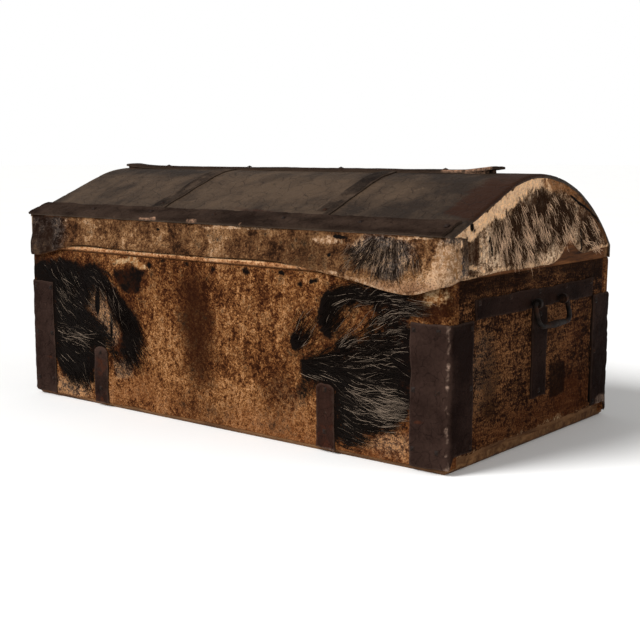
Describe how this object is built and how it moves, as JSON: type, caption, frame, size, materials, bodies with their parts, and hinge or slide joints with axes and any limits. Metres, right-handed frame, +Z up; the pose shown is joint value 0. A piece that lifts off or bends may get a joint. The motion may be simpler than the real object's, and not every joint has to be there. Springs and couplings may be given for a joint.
{
  "type": "travelling trunk",
  "caption": "Antique hide-covered wooden trunk with a planked domed lid on strap hinges, leather corner straps and a swinging iron bail handle at each end.",
  "frame": {"origin": "middle of the case's underside, on the plane that the trunk stands on", "axes": "+X along the trunk to its right end, -Y out of the front, +Z up"},
  "size_m": [0.8904, 0.479, 0.393],
  "materials": {
    "wood": "bare aged softwood",
    "hide": "worn rawhide with patches of hair",
    "dark_leather": "dry, dark, worn leather",
    "forged_iron": "black forged iron"
  },
  "bodies": {
    "case": {"back_board": "wood", "back_hide": "hide", "bottom_board_back": "wood", "bottom_board_front": "wood", "bottom_board_middle": "wood", "bottom_nails": "forged_iron", "case_corner_nails": "forged_iron", "case_strap_nails": "forged_iron", "corner_strap_back_left": "dark_leather", "corner_strap_back_right": "dark_leather", "corner_strap_front_left": "dark_leather", "corner_strap_front_right": "dark_leather", "end_band_nails": "forged_iron", "front_board": "wood", "front_hide": "hide", "front_strap_left": "dark_leather", "front_strap_right": "dark_leather", "hinge_case_nails": "forged_iron", "left_end_band": "dark_leather", "left_end_board": "wood", "left_end_hide": "hide", "left_end_strap": "dark_leather", "left_handle_staples": "forged_iron", "left_hinge_case_leaf": "forged_iron", "left_hinge_pin": "forged_iron", "right_end_band": "dark_leather", "right_end_board": "wood", "right_end_hide": "hide", "right_end_strap": "dark_leather", "right_handle_staples": "forged_iron", "right_hinge_case_leaf": "forged_iron", "right_hinge_pin": "forged_iron"},
    "lid": {"hinge_lid_nails": "forged_iron", "knee_band": "dark_leather", "knee_band_nails": "forged_iron", "left_hinge_lid_leaf": "forged_iron", "lid_back_rail": "wood", "lid_front_hide": "hide", "lid_front_rail": "wood", "lid_left_end": "wood", "lid_left_end_hide": "hide", "lid_lip": "wood", "lid_plank_1": "wood", "lid_plank_2": "wood", "lid_plank_3": "wood", "lid_plank_4": "wood", "lid_plank_5": "wood", "lid_plank_6": "wood", "lid_plank_7": "wood", "lid_plank_nails": "forged_iron", "lid_right_end": "wood", "lid_right_end_hide": "hide", "lid_strap_left": "dark_leather", "lid_strap_nails": "forged_iron", "lid_strap_right": "dark_leather", "lid_top_cover": "dark_leather", "ridge_strip": "dark_leather", "right_hinge_lid_leaf": "forged_iron"},
    "left_handle": {"left_handle_bail": "forged_iron"},
    "right_handle": {"right_handle_bail": "forged_iron"}
  },
  "joints": [
    {"name": "lid_hinge", "type": "hinge", "parent": "case", "child": "lid", "pos_m": [0, 0.23698, 0.25025], "axis": [-1, 0, 0], "range_deg": [0, 105]},
    {"name": "left_handle_swing", "type": "hinge", "parent": "case", "child": "left_handle", "pos_m": [-0.4314, 0.0175, 0.204], "axis": [0, 1, 0], "range_deg": [-16, 150]},
    {"name": "right_handle_swing", "type": "hinge", "parent": "case", "child": "right_handle", "pos_m": [0.4314, 0.0175, 0.204], "axis": [0, -1, 0], "range_deg": [-16, 150]}
  ]
}
